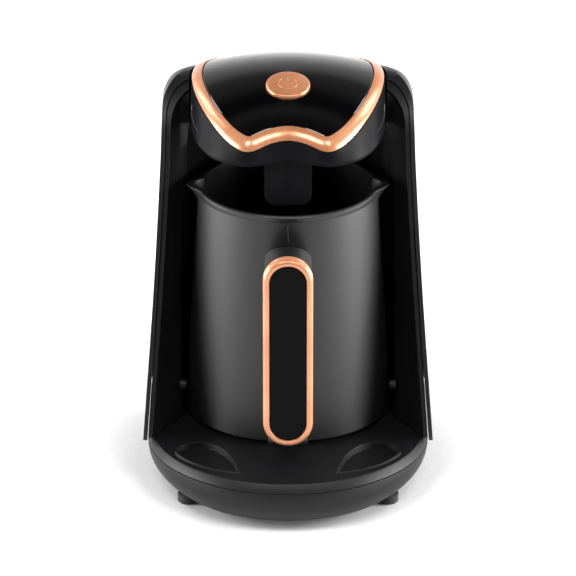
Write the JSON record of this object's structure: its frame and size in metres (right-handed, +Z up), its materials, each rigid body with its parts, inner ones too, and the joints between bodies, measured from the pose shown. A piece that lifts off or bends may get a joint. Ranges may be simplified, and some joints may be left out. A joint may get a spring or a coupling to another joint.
{
  "type": "electric turkish coffee maker",
  "caption": "Countertop maker for turkish coffee: round base, column with side wings, overhanging head with a push button and boil sensor, and a heated pot that slides out by its handle.",
  "frame": {"origin": "centre of the footprint at the bottom of the feet", "axes": "+X across to the right, +Y from the front to the back, +Z up"},
  "size_m": [0.1562, 0.1868, 0.2184],
  "materials": {
    "charcoal_plastic": "fine matte grain",
    "dark_plastic": "matte",
    "gloss_black": "high gloss",
    "copper_metal": "copper-coloured metallic gloss",
    "steel": "brushed",
    "aluminium_plate": "plain",
    "element_sheath": "dull",
    "brass_pins": "bright",
    "black_rubber": "matte",
    "circuit_board": "satin",
    "transformer_core": "plain",
    "relay_blue": "satin",
    "wire_red": "satin",
    "wire_blue": "satin",
    "lamp_white": "clear",
    "sensor_red": "dark tinted window",
    "silicone_grey": "matte",
    "ceramic_cream": "matte"
  },
  "bodies": {
    "body": {"base_bowl": "charcoal_plastic", "base_deck": "charcoal_plastic", "rubber_feet": "black_rubber", "base_screws": "steel", "cord_gland": "black_rubber", "power_board": "circuit_board", "transformer": "transformer_core", "relay": "relay_blue", "capacitor": "dark_plastic", "wire_harness": "wire_red", "socket_wires": "wire_blue", "outer_shell": "charcoal_plastic", "inner_liner": "charcoal_plastic", "shell_screws": "steel", "pot_socket": "dark_plastic", "head_housing": "charcoal_plastic", "head_trim": "copper_metal", "top_panel": "gloss_black", "head_screws": "steel", "tact_switch": "dark_plastic", "control_board": "circuit_board", "board_screws": "steel", "status_led": "lamp_white", "buzzer": "dark_plastic", "sensor_housing": "charcoal_plastic", "sensor_window": "sensor_red", "boil_sensor": "circuit_board"},
    "button": {"power_button": "copper_metal", "switch_plunger": "dark_plastic"},
    "pot": {"pot_body": "charcoal_plastic", "pot_base": "charcoal_plastic", "pot_base_screws": "steel", "heating_plate": "steel", "plate_seal": "silicone_grey", "heat_spreader": "aluminium_plate", "heating_element": "element_sheath", "pot_thermostat": "ceramic_cream", "pot_plug": "dark_plastic", "plug_pins": "brass_pins", "handle_body": "charcoal_plastic", "handle_ring": "copper_metal", "handle_inset": "gloss_black", "handle_screws": "steel"}
  },
  "joints": [
    {"name": "button_press", "type": "slide", "parent": "body", "child": "button", "axis": [0, 0.2408, -0.9706], "range_m": [0, 0.0012], "stiffness_N_per_m": 600, "springref_m": -0.001},
    {"name": "pot_slide", "type": "slide", "parent": "body", "child": "pot", "axis": [0, -1, 0], "range_m": [0, 0.18]}
  ]
}
